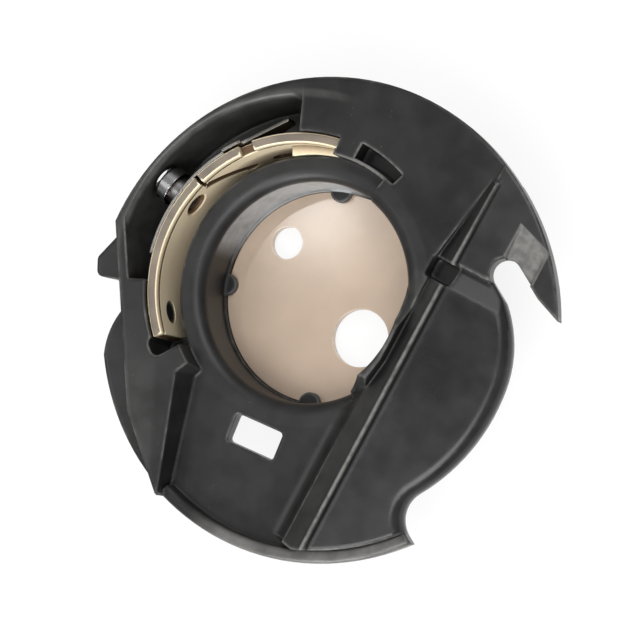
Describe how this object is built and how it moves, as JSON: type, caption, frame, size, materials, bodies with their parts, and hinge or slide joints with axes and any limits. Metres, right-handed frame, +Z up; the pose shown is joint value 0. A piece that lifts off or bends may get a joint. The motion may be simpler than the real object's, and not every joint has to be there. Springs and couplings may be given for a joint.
{
  "type": "bobbin case",
  "caption": "Round moulded case that holds a drop-in bobbin over a steel floor disc, with a curved thread-tension plate, a leaf spring and an adjusting screw.",
  "frame": {"origin": "on the bobbin axis, level with the underside of the cup", "axes": "+Z up along the bobbin axis, out of the cup's mouth; +Y along the straight rib beside the cup; +X towards the notch and horn"},
  "size_m": [0.0454, 0.047, 0.0124],
  "materials": {
    "case_plastic": "satin black moulded plastic",
    "disc_steel": "fine-brushed, warm",
    "plate_steel": "warm nickel plate, polished edges",
    "spring_steel": "rolled spring steel",
    "screw_steel": "turned, bright"
  },
  "bodies": {
    "case": {"case_body": "case_plastic", "floor_disc": "disc_steel", "tension_plate": "plate_steel", "spring_fixing_screw": "screw_steel"},
    "leaf": {"leaf_spring": "spring_steel"},
    "screw": {"tension_screw": "screw_steel"}
  },
  "joints": [
    {"name": "leaf_flex", "type": "hinge", "parent": "case", "child": "leaf", "pos_m": [-0.01612, -0.00205, 0.0053], "axis": [0, 0, 1], "range_deg": [0, 2], "stiffness_Nm_per_rad": 0.002},
    {"name": "tension_turn", "type": "hinge", "parent": "case", "child": "screw", "pos_m": [-0.01641, 0.00242, 0.0075], "axis": [-0.986, 0.1668, 0], "range_deg": [-180, 180]}
  ]
}
